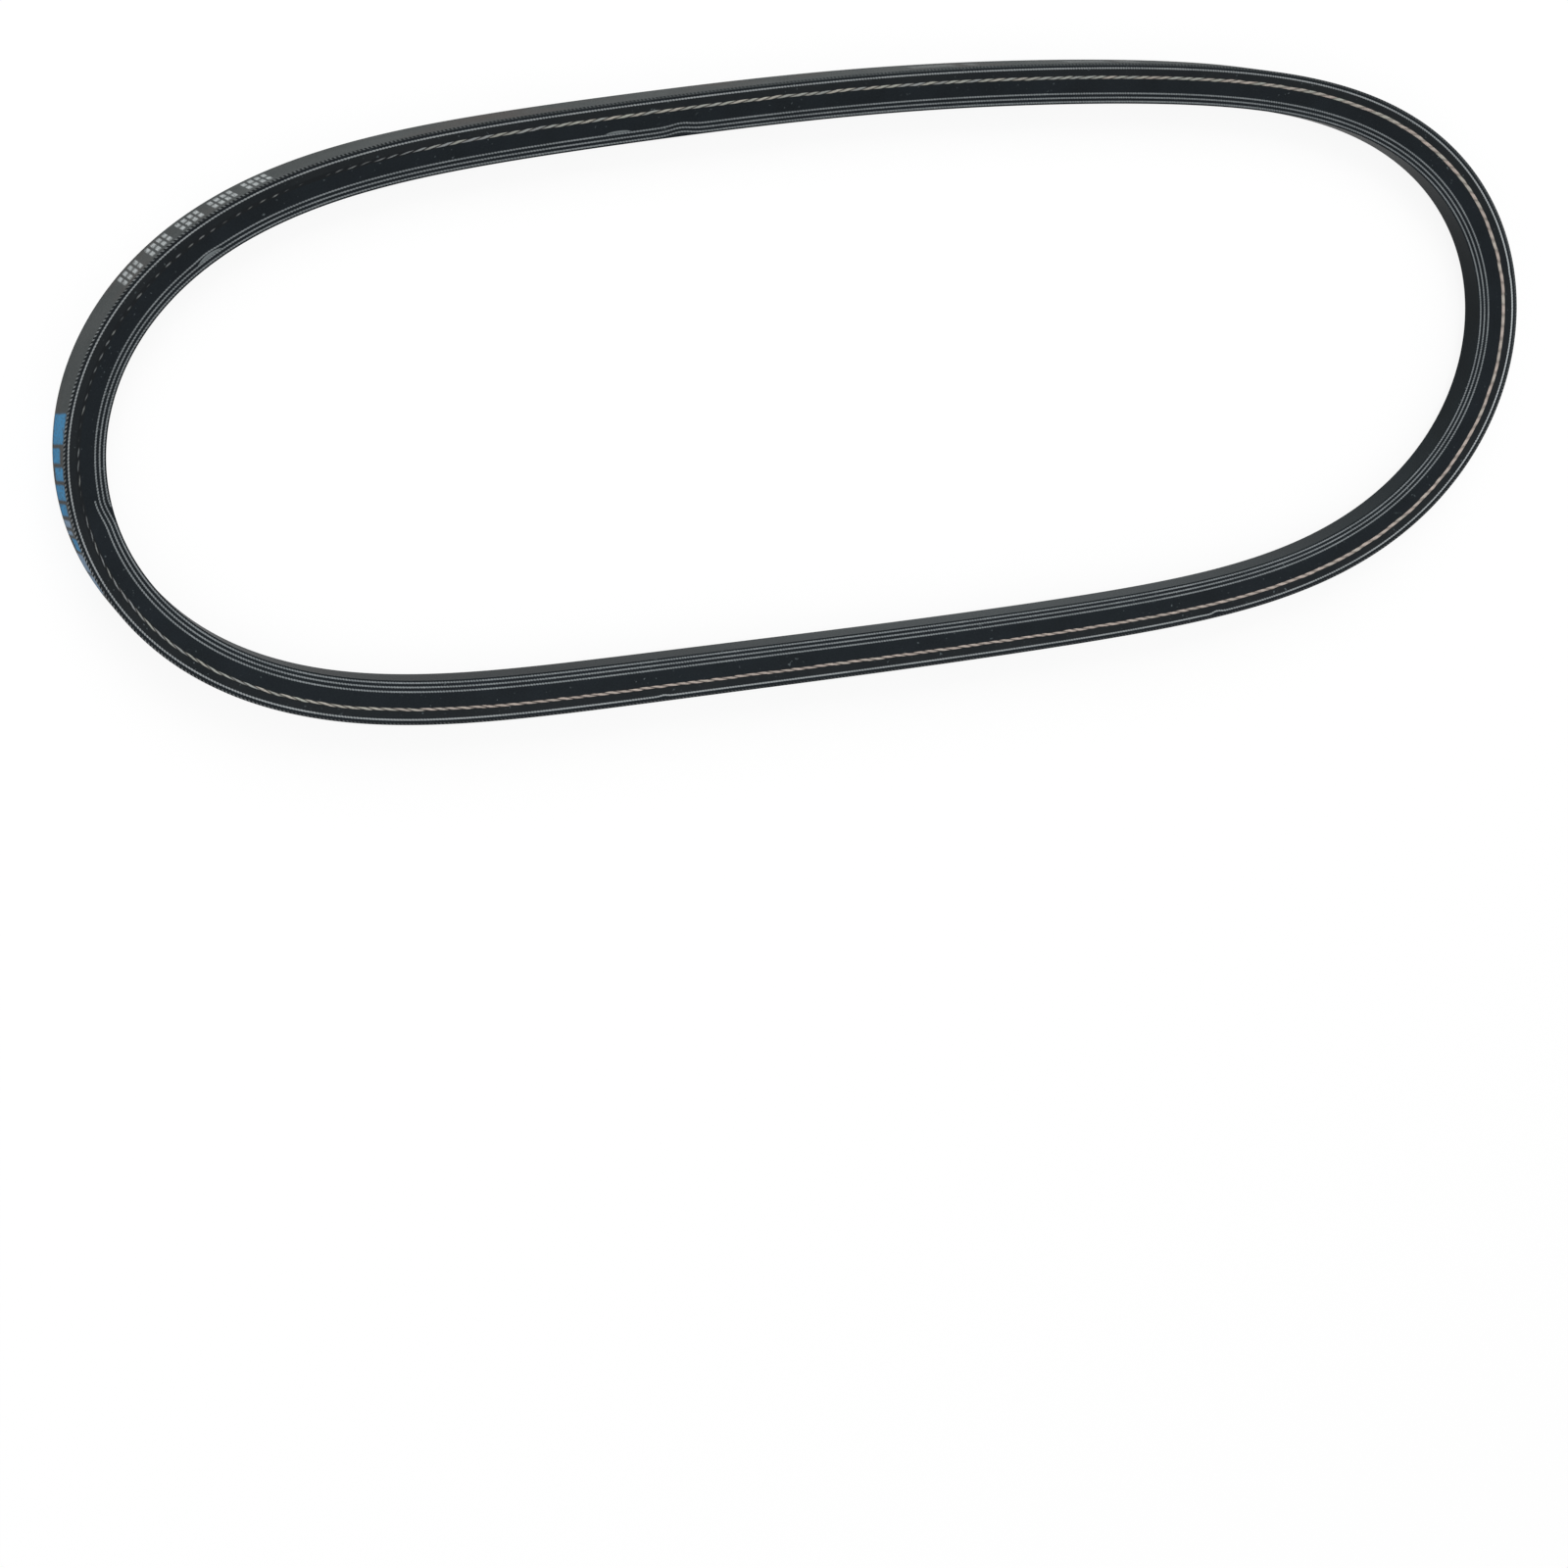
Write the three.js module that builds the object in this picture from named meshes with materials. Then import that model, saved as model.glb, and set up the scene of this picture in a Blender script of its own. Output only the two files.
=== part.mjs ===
// Raw-edge laminated V-belt, lying on one drive flank. Millimetres, +Z up.
// The loop's plan lies in XY and its layers run from the back (outer side) to the base (inner side).
// The lower back corner rests on z = 0, and the plan's outline is centred on the origin.

import * as THREE from 'three';

// Plan of the loop, measured on the cord line, which keeps its length when the belt bends
const cordLineLength = 915;
const rightBendRadius = 54.8; // at the middle of each bend
const leftBendRadius = 53.2;
const farStrandRadius = 930; // the two strands bow out gently between the bends
const nearStrandRadius = 4190;

// Section
const backWidth = 13;
const wedgeAngle = 38; // degrees between the two drive flanks

// Layer thicknesses, from the back to the base
const outerCoverPly = 0.55;
const coverSkim = 0.4;
const innerCoverPly = 0.5;
const cushion = 1.55;
const tensileCord = 1;
const compression = 3.25;
const basePly = 0.5;
const baseSkim = 0.55;
const baseSkin = 0.25;

// The base fabric is one strip wound on itself; it steps down one turn behind its splice
const baseTurns = 3;
const spliceAt = 0.506; // share of the loop, anticlockwise from the right bend
const stepLength = 8;
const stepStations = 5;

// Two faults of the lay-up raise the base fabric towards the back: a fold under all its turns, and a lap
// under the first turn; their places are along the cord line, anticlockwise from the right bend
const foldAt = 277;
const foldRise = 0.56;
const foldReach = 3.4;
const lapAt = 395.4;
const lapRise = 0.3;
const lapReach = 3;

// Facets
const chordError = 0.09;
const longestFacet = 14;
const ridgeFacet = 2; // facets this long follow the fold and the lap
const planSteps = 3600; // steps along the cord line in which the plan is summed

// Depths below the back surface at which the layers meet
const coverSkimDepth = outerCoverPly;
const innerCoverDepth = coverSkimDepth + coverSkim;
const cushionDepth = innerCoverDepth + innerCoverPly;
const cordDepth = cushionDepth + cushion;
const compressionDepth = cordDepth + tensileCord;
const baseFabricDepth = compressionDepth + compression;
const turnPitch = basePly + baseSkim;
const beltThickness = baseFabricDepth + baseTurns * turnPitch - baseSkim + baseSkin;
const cordLineDepth = cordDepth + tensileCord / 2;
const lastTurnBase = beltThickness - baseSkin;
const firstTurnBase = baseFabricDepth + basePly;
const ridgeRoot = compressionDepth + compression / 2;
const flankSlope = Math.tan(THREE.MathUtils.degToRad(wedgeAngle / 2));

// A ridge starts at its root depth, is full between two depths and ends at the last
const foldDepths = [ridgeRoot, baseFabricDepth, lastTurnBase, beltThickness];
const lapDepths = [ridgeRoot, baseFabricDepth, firstTurnBase, firstTurnBase + baseSkim];
const ridges = [
  { at: foldAt, rise: foldRise, reach: foldReach, depths: foldDepths },
  { at: lapAt, rise: lapRise, reach: lapReach, depths: lapDepths },
];

// Relative curvature: 1 on a circle as long as the loop
function relativeCurvature(radius) {
  return cordLineLength / (2 * Math.PI * radius);
}

// Harmonics of the curvature that give the four radii, with the first pair free to close the loop
function planHarmonics(firstCosine, firstSine) {
  const right = relativeCurvature(rightBendRadius);
  const left = relativeCurvature(leftBendRadius);
  const far = relativeCurvature(farStrandRadius);
  const near = relativeCurvature(nearStrandRadius);
  const bends = (right + left) / 2;
  const strands = (far + near) / 2;
  const thirdCosine = (right - left) / 2 - firstCosine;
  const thirdSine = firstSine - (far - near) / 2;
  return {
    cosines: [firstCosine, (bends - strands) / 2, thirdCosine, (bends + strands) / 2 - 1],
    sines: [firstSine, 0, thirdSine, 0],
  };
}

function curvatureAt(share, harmonics) {
  let curvature = 1;
  harmonics.cosines.forEach((cosine, index) => {
    const angle = 2 * Math.PI * (index + 1) * share;
    curvature += cosine * Math.cos(angle) + harmonics.sines[index] * Math.sin(angle);
  });
  return curvature;
}

// The tangent's direction is the curvature summed along the loop; it starts along +Y at the right bend
function headingAt(share, harmonics) {
  let heading = Math.PI / 2 + 2 * Math.PI * share;
  harmonics.cosines.forEach((cosine, index) => {
    const order = index + 1;
    const angle = 2 * Math.PI * order * share;
    heading += (cosine * Math.sin(angle) + harmonics.sines[index] * (1 - Math.cos(angle))) / order;
  });
  return heading;
}

// Points along the cord line at even shares, by midpoint steps
function walkPlan(harmonics) {
  const points = [new THREE.Vector2(0, 0)];
  for (let step = 0; step < planSteps; step += 1) {
    const heading = headingAt((step + 0.5) / planSteps, harmonics);
    const stride = new THREE.Vector2(Math.cos(heading), Math.sin(heading));
    points.push(stride.multiplyScalar(cordLineLength / planSteps).add(points[step]));
  }
  return points;
}

function closingGap(firstCosine, firstSine) {
  return walkPlan(planHarmonics(firstCosine, firstSine))[planSteps];
}

// Newton's method on the first pair of harmonics brings the loop's end back to its start
function closedHarmonics() {
  const rounds = 8;
  const nudge = 1e-4;
  let firstCosine = 0;
  let firstSine = 0;
  for (let round = 0; round < rounds; round += 1) {
    const gap = closingGap(firstCosine, firstSine);
    const byCosine = closingGap(firstCosine + nudge, firstSine).sub(gap).divideScalar(nudge);
    const bySine = closingGap(firstCosine, firstSine + nudge).sub(gap).divideScalar(nudge);
    const area = byCosine.cross(bySine);
    firstCosine -= gap.cross(bySine) / area;
    firstSine -= byCosine.cross(gap) / area;
  }
  return planHarmonics(firstCosine, firstSine);
}

const harmonics = closedHarmonics();
const planPoints = walkPlan(harmonics);

// Distance between two places along the loop, the short way round
function loopDistance(first, second) {
  const apart = Math.abs(first - second) % cordLineLength;
  return Math.min(apart, cordLineLength - apart);
}

// Facets per millimetre: short in the bends for the chord error and on the ridges, never over the longest
function facetDensity(share) {
  const curvature = Math.abs(curvatureAt(share, harmonics)) * 2 * Math.PI / cordLineLength;
  const plain = Math.max(Math.sqrt(curvature / (8 * chordError)), 1 / longestFacet);
  const onRidge = ridges.some(({ at, reach }) => loopDistance(at, share * cordLineLength) < 2 * reach);
  return onRidge ? Math.max(plain, 1 / ridgeFacet) : plain;
}

// Distances of the stations from the splice: even steps down the fabric's step, then by facet density
function stationDistances() {
  const distances = [];
  for (let step = 0; step < stepStations; step += 1) {
    distances.push(stepLength * step / stepStations);
  }
  const stride = cordLineLength / planSteps;
  const facets = [0];
  for (let along = stepLength; along < cordLineLength; along += stride) {
    facets.push(facets[facets.length - 1] + facetDensity(spliceAt + along / cordLineLength) * stride);
  }
  const total = facets[facets.length - 1];
  const count = Math.ceil(total);
  for (let facet = 0; facet < count; facet += 1) {
    const sample = facets.findIndex((sum) => sum >= total * facet / count);
    distances.push(stepLength + sample * stride);
  }
  return distances;
}

// A station holds its distance from the splice, its place along the loop, its point on the cord line and
// its outward direction
function makeStation(distance) {
  const share = (spliceAt + distance / cordLineLength) % 1;
  const sample = share * planSteps;
  const before = Math.floor(sample);
  const point = planPoints[before].clone().lerp(planPoints[before + 1], sample - before);
  const heading = headingAt(share, harmonics);
  const outward = new THREE.Vector2(Math.sin(heading), -Math.cos(heading));
  return { distance, along: share * cordLineLength, point, outward };
}

// Moves the stations so that the middle of the back's outline is at the origin
function centredStations() {
  const stations = stationDistances().map(makeStation);
  const outline = new THREE.Box2();
  stations.forEach(({ point, outward }) => {
    outline.expandByPoint(point.clone().addScaledVector(outward, cordLineDepth));
  });
  const middle = outline.getCenter(new THREE.Vector2());
  stations.forEach(({ point }) => point.sub(middle));
  return stations;
}

const stations = centredStations();
const stationCount = stations.length;

// Share of a ridge's rise at a depth: 0 at its root, 1 between its two middle depths and 0 at its end
function ridgeShare(depth, [root, full, falling, end]) {
  const rising = THREE.MathUtils.clamp((depth - root) / (full - root), 0, 1);
  return Math.min(rising, THREE.MathUtils.clamp((end - depth) / (end - falling), 0, 1));
}

// Depth as laid: each ridge lifts it by a bell along the loop
function laidDepth(along, depth) {
  return ridges.reduce((laid, { at, rise, reach, depths }) => {
    const bell = Math.exp(-((loopDistance(at, along) / reach) ** 2));
    return laid - rise * bell * ridgeShare(depth, depths);
  }, depth);
}

// A corner of the section: side is -1 on the lower flank and 1 on the upper flank
function cornerPosition(index, plainDepth, side) {
  const { along, point, outward } = stations[index % stationCount];
  const depth = laidDepth(along, plainDepth);
  const place = point.clone().addScaledVector(outward, cordLineDepth - depth);
  const halfWidth = backWidth / 2 - depth * flankSlope;
  return [place.x, place.y, backWidth / 2 + side * halfWidth];
}

// Collects corners and faces; a face's corners run anticlockwise seen from outside
class SolidBuilder {
  constructor() {
    this.positions = [];
    this.triangles = [];
    this.known = new Map();
  }

  corner(index, depth, side) {
    const key = [index % stationCount, depth.toFixed(6), side].join();
    if (!this.known.has(key)) {
      this.known.set(key, this.positions.length / 3);
      this.positions.push(...cornerPosition(index, depth, side));
    }
    return this.known.get(key);
  }

  face(corners) {
    for (let index = 2; index < corners.length; index += 1) {
      this.triangles.push(corners[0], corners[index - 1], corners[index]);
    }
  }

  // One facet of a layer, with its flanks split at the depths where a step meets its ends
  segment(from, to) {
    const at = (row, depth, side) => this.corner(row.index, depth, side);
    this.face([at(from, from.top, -1), at(to, to.top, -1), at(to, to.top, 1), at(from, from.top, 1)]);
    this.face([at(from, from.base, -1), at(from, from.base, 1), at(to, to.base, 1), at(to, to.base, -1)]);
    const splits = (row) => (row.splits ?? []).filter((depth) => depth > row.top && depth < row.base);
    const flank = (side) => [
      at(from, from.top, side),
      at(to, to.top, side),
      ...splits(to).map((depth) => at(to, depth, side)),
      at(to, to.base, side),
      at(from, from.base, side),
      ...splits(from).reverse().map((depth) => at(from, depth, side)),
    ];
    this.face(flank(1));
    this.face(flank(-1).reverse());
  }

  // A flat wall across the layer; facing is 1 along the loop and -1 against it
  wall(index, top, base, facing) {
    const corners = [
      this.corner(index, base, -1),
      this.corner(index, top, -1),
      this.corner(index, top, 1),
      this.corner(index, base, 1),
    ];
    this.face(facing < 0 ? corners : corners.reverse());
  }

  geometry() {
    const geometry = new THREE.BufferGeometry();
    geometry.setAttribute('position', new THREE.Float32BufferAttribute(this.positions, 3));
    geometry.setIndex(this.triangles);
    geometry.computeVertexNormals();
    return geometry;
  }
}

// An open strip of layer with a flat cut at each end
function stripGeometry(rows) {
  const builder = new SolidBuilder();
  const last = rows[rows.length - 1];
  builder.wall(rows[0].index, rows[0].top, rows[0].base, -1);
  builder.wall(last.index, last.top, last.base, 1);
  for (let row = 1; row < rows.length; row += 1) {
    builder.segment(rows[row - 1], rows[row]);
  }
  return builder.geometry();
}

// A closed ring of layer; where its last row's depths differ from its first row's, a wall joins them
function ringGeometry(topAt, baseAt) {
  const builder = new SolidBuilder();
  const rows = [];
  for (let index = 0; index <= stationCount; index += 1) {
    rows.push({ index, top: topAt(index), base: baseAt(index) });
  }
  const first = rows[0];
  const last = rows[stationCount];
  first.splits = [last.top, last.base];
  last.splits = [first.top, first.base];
  if (first.top !== last.top) {
    const facing = first.top < last.top ? -1 : 1;
    builder.wall(0, Math.min(first.top, last.top), Math.max(first.top, last.top), facing);
  }
  if (first.base !== last.base) {
    const facing = first.base < last.base ? 1 : -1;
    builder.wall(0, Math.min(first.base, last.base), Math.max(first.base, last.base), facing);
  }
  for (let row = 1; row < rows.length; row += 1) {
    builder.segment(rows[row - 1], rows[row]);
  }
  return builder.geometry();
}

// Depth of the base fabric's outer face: a turn starts level with the turn before it and eases down
// by one pitch along the step, so that each turn ends where the next one starts
function fabricDepth(turn, index) {
  const distance = index === stationCount ? cordLineLength : stations[index].distance;
  const eased = THREE.MathUtils.smoothstep(distance, 0, stepLength);
  return baseFabricDepth + turnPitch * (turn - 1 + eased);
}

function spiralRows(turns, topAt, baseAt) {
  const rows = [];
  for (let turn = 0; turn < turns; turn += 1) {
    for (let index = 0; index < stationCount; index += 1) {
      rows.push({ index, top: topAt(turn, index), base: baseAt(turn, index) });
    }
  }
  const turn = turns - 1;
  rows.push({ index: stationCount, top: topAt(turn, stationCount), base: baseAt(turn, stationCount) });
  return rows;
}

function fabricBase(turn, index) {
  return fabricDepth(turn, index) + basePly;
}

const coverFabric = { color: '#4a4e4e', roughness: 0.85, metalness: 0 };
const cutFabric = { color: '#7b8184', roughness: 0.8, metalness: 0 };
const rubber = { color: '#1d2226', roughness: 0.7, metalness: 0 };
const cord = { color: '#a89d94', roughness: 0.75, metalness: 0 };
const skin = { color: '#2a2f31', roughness: 0.6, metalness: 0 };

function addLayer(group, name, geometry, finish) {
  const mesh = new THREE.Mesh(geometry, new THREE.MeshStandardMaterial(finish));
  mesh.name = name;
  group.add(mesh);
}

function addRing(group, name, top, base, finish) {
  addLayer(group, name, ringGeometry(() => top, () => base), finish);
}

// Two fabric plies with a rubber skim between them cover the back
function addCover(group) {
  addRing(group, 'cover_ply_outer', 0, coverSkimDepth, coverFabric);
  addRing(group, 'cover_skim', coverSkimDepth, innerCoverDepth, rubber);
  addRing(group, 'cover_ply_inner', innerCoverDepth, cushionDepth, cutFabric);
}

// The wound cord lies flush with both flanks, between the cushion and the compression rubber
function addTensionLayers(group) {
  addRing(group, 'cushion_rubber', cushionDepth, cordDepth, rubber);
  addRing(group, 'tensile_cord', cordDepth, compressionDepth, cord);
}

// The compression rubber's inner side follows the first turn of the base fabric and its cut end
function addCompression(group) {
  const geometry = ringGeometry(() => compressionDepth, (index) => fabricDepth(0, index));
  addLayer(group, 'compression_rubber', geometry, rubber);
}

// One strip of fabric, wound in turns with a strip of skim rubber between them, under a thin skin
function addBase(group) {
  const fabric = spiralRows(baseTurns, fabricDepth, fabricBase);
  addLayer(group, 'base_fabric', stripGeometry(fabric), cutFabric);
  const skim = spiralRows(baseTurns - 1, fabricBase, (turn, index) => fabricDepth(turn + 1, index));
  addLayer(group, 'base_skim', stripGeometry(skim), rubber);
  const skinGeometry = ringGeometry((index) => fabricBase(baseTurns - 1, index), () => beltThickness);
  addLayer(group, 'base_skin', skinGeometry, skin);
}

const belt = new THREE.Group();
addCover(belt);
addTensionLayers(belt);
addCompression(belt);
addBase(belt);

export default belt;
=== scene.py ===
import math

import bpy
import numpy as np
from mathutils import Matrix, Vector


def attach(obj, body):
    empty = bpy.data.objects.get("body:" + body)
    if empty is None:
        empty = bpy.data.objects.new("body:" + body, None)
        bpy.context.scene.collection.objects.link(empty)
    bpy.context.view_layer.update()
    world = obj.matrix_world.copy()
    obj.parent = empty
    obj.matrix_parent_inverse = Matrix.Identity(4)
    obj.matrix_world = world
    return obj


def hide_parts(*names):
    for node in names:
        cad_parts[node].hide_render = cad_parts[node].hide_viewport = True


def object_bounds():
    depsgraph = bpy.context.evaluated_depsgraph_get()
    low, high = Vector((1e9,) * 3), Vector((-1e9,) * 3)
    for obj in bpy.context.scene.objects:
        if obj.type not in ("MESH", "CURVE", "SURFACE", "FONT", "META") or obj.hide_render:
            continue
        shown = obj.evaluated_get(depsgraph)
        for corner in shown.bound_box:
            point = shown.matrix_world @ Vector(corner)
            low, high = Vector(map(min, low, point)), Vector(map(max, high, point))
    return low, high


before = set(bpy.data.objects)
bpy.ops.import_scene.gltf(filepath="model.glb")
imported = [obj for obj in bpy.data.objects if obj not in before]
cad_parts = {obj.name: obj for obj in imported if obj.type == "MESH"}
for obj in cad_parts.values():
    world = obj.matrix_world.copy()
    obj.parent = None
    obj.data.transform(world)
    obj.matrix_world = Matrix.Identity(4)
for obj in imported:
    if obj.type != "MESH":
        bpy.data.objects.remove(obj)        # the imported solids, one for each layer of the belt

cadLow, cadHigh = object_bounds()
mm = 0.001  # one millimetre in metres

# Plan of the loop on the cord line, in mm; places along it run anticlockwise from the right bend
loopPlan = {
    "length": 915.0,
    "rightBend": 54.8,  # radius at the middle of each bend
    "leftBend": 53.2,
    "farStrand": 930.0,  # the strands bow out gently
    "nearStrand": 4190.0,
    "steps": 7320,
}

# Section of the belt, in mm: depths below the back at which the layers meet
section = {
    "width": (cadHigh.z - cadLow.z) / mm,
    "wedge": 38.0,  # degrees between the flanks
    "coverSkim": 0.55,
    "innerPly": 0.95,
    "cushion": 1.45,
    "cord": 3.0,
    "compression": 4.0,
    "fabric": 7.25,
    "ply": 0.5,  # thickness of the base fabric
    "turnPitch": 1.05,
    "base": 10.1,
}
cordLineDepth = (section["cord"] + section["compression"]) / 2
flankLean = math.radians(section["wedge"] / 2)

# The base fabric is one strip wound in three turns. Behind its splice each turn steps down one pitch, and
# the strip's end runs on a little before it meets the base. All in mm.
splice = {"at": 0.506 * loopPlan["length"], "step": 8.0, "turns": 3, "overrun": 2.7, "skinLeft": 0.04}

# Depths at which a fault of the lay-up starts, is full, starts to fade and ends: a ridge shifts all the
# turns of fabric, a lap the first of them, and a nick the cover's inner ply
faultRoot = (section["compression"] + section["fabric"]) / 2
firstTurnBase = section["fabric"] + section["ply"]
secondTurn = section["fabric"] + section["turnPitch"]
lastTurnBase = section["fabric"] + (splice["turns"] - 1) * section["turnPitch"] + section["ply"]
ridgeDepths = (faultRoot, section["fabric"], lastTurnBase, section["base"])
lapDepths = (faultRoot, section["fabric"], firstTurnBase, secondTurn)
nickDepths = (0.6, section["innerPly"], section["cushion"], 2.6)

# The faults: where and how far along, and how far they shift the layers towards the base, all in mm
layFaults = [
    {"at": 276.2, "reach": 3.2, "push": -0.56, "depths": ridgeDepths},
    {"at": 395.4, "reach": 3.0, "push": -0.3, "depths": lapDepths},
    {"at": 789.6, "reach": 1.6, "push": 0.36, "depths": nickDepths},
    {"at": 787.4, "reach": 1.5, "push": -0.1, "depths": nickDepths},
    {"at": 628.6, "reach": 1.1, "push": 0.22, "depths": nickDepths},
    {"at": 13.1, "reach": 1.6, "push": 0.1, "depths": nickDepths},
]


# Smooth step: t*t*(3 - 2t), with t the share of the way from low to high, held to 0..1
def easeBetween(low, high, value):
    t = np.clip((value - low) / (high - low), 0.0, 1.0)
    return t * t * (3.0 - 2.0 * t)


# Bell: exp(-(x / reach)^2), with x the distance from the middle the short way round the loop
def bellAround(middle, reach, along):
    half = loopPlan["length"] / 2
    offset = (along - middle + half) % loopPlan["length"] - half
    return np.exp(-(offset / reach) ** 2)


# Curvature, 1 on a circle as long as the loop: 1 + the sum of c cos + d sin over four harmonics that give
# the four radii, with first = (c1, d1) free to close the loop
def planHarmonics(first):
    right, left, far, near = (
        loopPlan["length"] / (2 * math.pi * loopPlan[name])
        for name in ("rightBend", "leftBend", "farStrand", "nearStrand")
    )
    bends, strands = (right + left) / 2, (far + near) / 2
    cosines = [first[0], (bends - strands) / 2, (right - left) / 2 - first[0], (bends + strands) / 2 - 1]
    sines = [first[1], 0.0, first[1] - (far - near) / 2, 0.0]
    return np.array(cosines), np.array(sines)


# Direction of the tangent: the curvature summed along the loop, from +Y at the right bend
def headingAt(share, harmonics):
    cosines, sines = harmonics
    order = np.arange(1, 5)[:, None]
    angle = 2 * math.pi * order * share
    waves = (cosines[:, None] * np.sin(angle) + sines[:, None] * (1 - np.cos(angle))) / order
    return math.pi / 2 + 2 * math.pi * share + waves.sum(axis=0)


# Points of the cord line: the running sum of equal strides along the heading
def walkPlan(harmonics):
    steps = loopPlan["steps"]
    heading = headingAt((np.arange(steps) + 0.5) / steps, harmonics)
    strides = np.stack([np.cos(heading), np.sin(heading)], axis=1) * loopPlan["length"] / steps
    return np.vstack([[0.0, 0.0], np.cumsum(strides, axis=0)])


# Newton's method on the first pair of harmonics brings the loop's end back to its start; each slope is the
# gap's change over a small nudge of one harmonic
def closedHarmonics():
    first = np.zeros(2)
    nudge = 1e-4
    for _ in range(8):
        gap = walkPlan(planHarmonics(first))[-1]
        slopes = [(walkPlan(planHarmonics(first + step))[-1] - gap) / nudge for step in np.eye(2) * nudge]
        first = first - np.linalg.solve(np.array(slopes).T, gap)
    return planHarmonics(first)


harmonics = closedHarmonics()
planPoints = walkPlan(harmonics)
planAlong = np.linspace(0.0, loopPlan["length"], loopPlan["steps"] + 1)


# Point and outward direction of the cord line: the walked plan between its points, and the heading turned
# a quarter clockwise
def cordLineAt(along):
    wrapped = np.mod(along, loopPlan["length"])
    x = np.interp(wrapped, planAlong, planPoints[:, 0])
    y = np.interp(wrapped, planAlong, planPoints[:, 1])
    heading = headingAt(wrapped / loopPlan["length"], harmonics)
    return np.stack([x, y], axis=1), np.stack([np.sin(heading), -np.cos(heading)], axis=1)


# Middle of the box round the back's outline, where the frame has its origin
def outlineMiddle():
    points, outward = cordLineAt(planAlong)
    outline = points + outward * cordLineDepth
    return (outline.min(axis=0) + outline.max(axis=0)) / 2


planMiddle = outlineMiddle()
print("loop", "middle", planMiddle.round(3), "closes to", np.abs(planPoints[-1]).max())


# Depth + the sum of push * bell(along) * share(depth) over the lay-up's faults
def laidDepth(along, depth):
    laid = depth.copy()
    for fault in layFaults:
        share = np.interp(depth, fault["depths"], (0.0, 1.0, 1.0, 0.0))
        laid = laid + fault["push"] * bellAround(fault["at"], fault["reach"], along) * share
    return laid


# Outer face of the wound fabric: the first turn's depth, and one pitch more with each step behind the
# splice, which is eased
def fabricDepth(distance):
    turn = np.floor(distance / loopPlan["length"] + 1e-9)  # a whole turn isn't lost to rounding
    eased = easeBetween(0.0, splice["step"], distance - turn * loopPlan["length"])
    return section["fabric"] + section["turnPitch"] * (turn - 1 + eased)


# Section's outline from the lower back corner: over the back, down the upper flank, over the base and up
# the lower flank. A point has its share of the layer's depth and its side, -1 to 1; the face after it has
# its region, 0 for the back, 1 for a flank and 2 for the base.
def sectionOutline(backSteps, flankSteps, baseSteps):
    back = np.linspace(-1, 1, backSteps + 1)
    flank = np.linspace(0, 1, flankSteps + 1)
    base = np.linspace(1, -1, baseSteps + 1)
    share = np.concatenate([0 * back, flank[1:], 0 * base[1:] + 1, flank[::-1][1:-1]])
    side = np.concatenate([back, 0 * flank[1:] + 1, base[1:], 0 * flank[1:-1] - 1])
    region = np.repeat([0, 1, 2, 1], [backSteps, flankSteps, baseSteps, flankSteps])
    return {"share": share, "side": side, "region": region}


# Point = cord line + outward * (cord depth - d), height = middle + side * (half width - d * slope), pushed
# off the flank by lift. The depth d runs from top to base by the outline's share and is shifted by the
# lay-up's faults.
def bandAlong(outline, along, top, base, lift=0.0):
    plan, outward = cordLineAt(along)
    depth = laidDepth(along[:, None], top[:, None] + (base - top)[:, None] * outline["share"])
    half = section["width"] / 2 - depth * math.tan(flankLean)
    offset = cordLineDepth - depth - lift * math.sin(flankLean)
    height = section["width"] / 2 + outline["side"] * (half + lift * math.cos(flankLean))
    place = (plan - planMiddle)[:, None, :] + outward[:, None, :] * offset[:, :, None]
    points = np.concatenate([place, height[:, :, None]], axis=2) * mm
    return {"along": along, "points": points, "depth": depth, "across": outline["side"] * half}


foldAngle = math.radians(38)  # a fold sharper than this stays crisp


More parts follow.
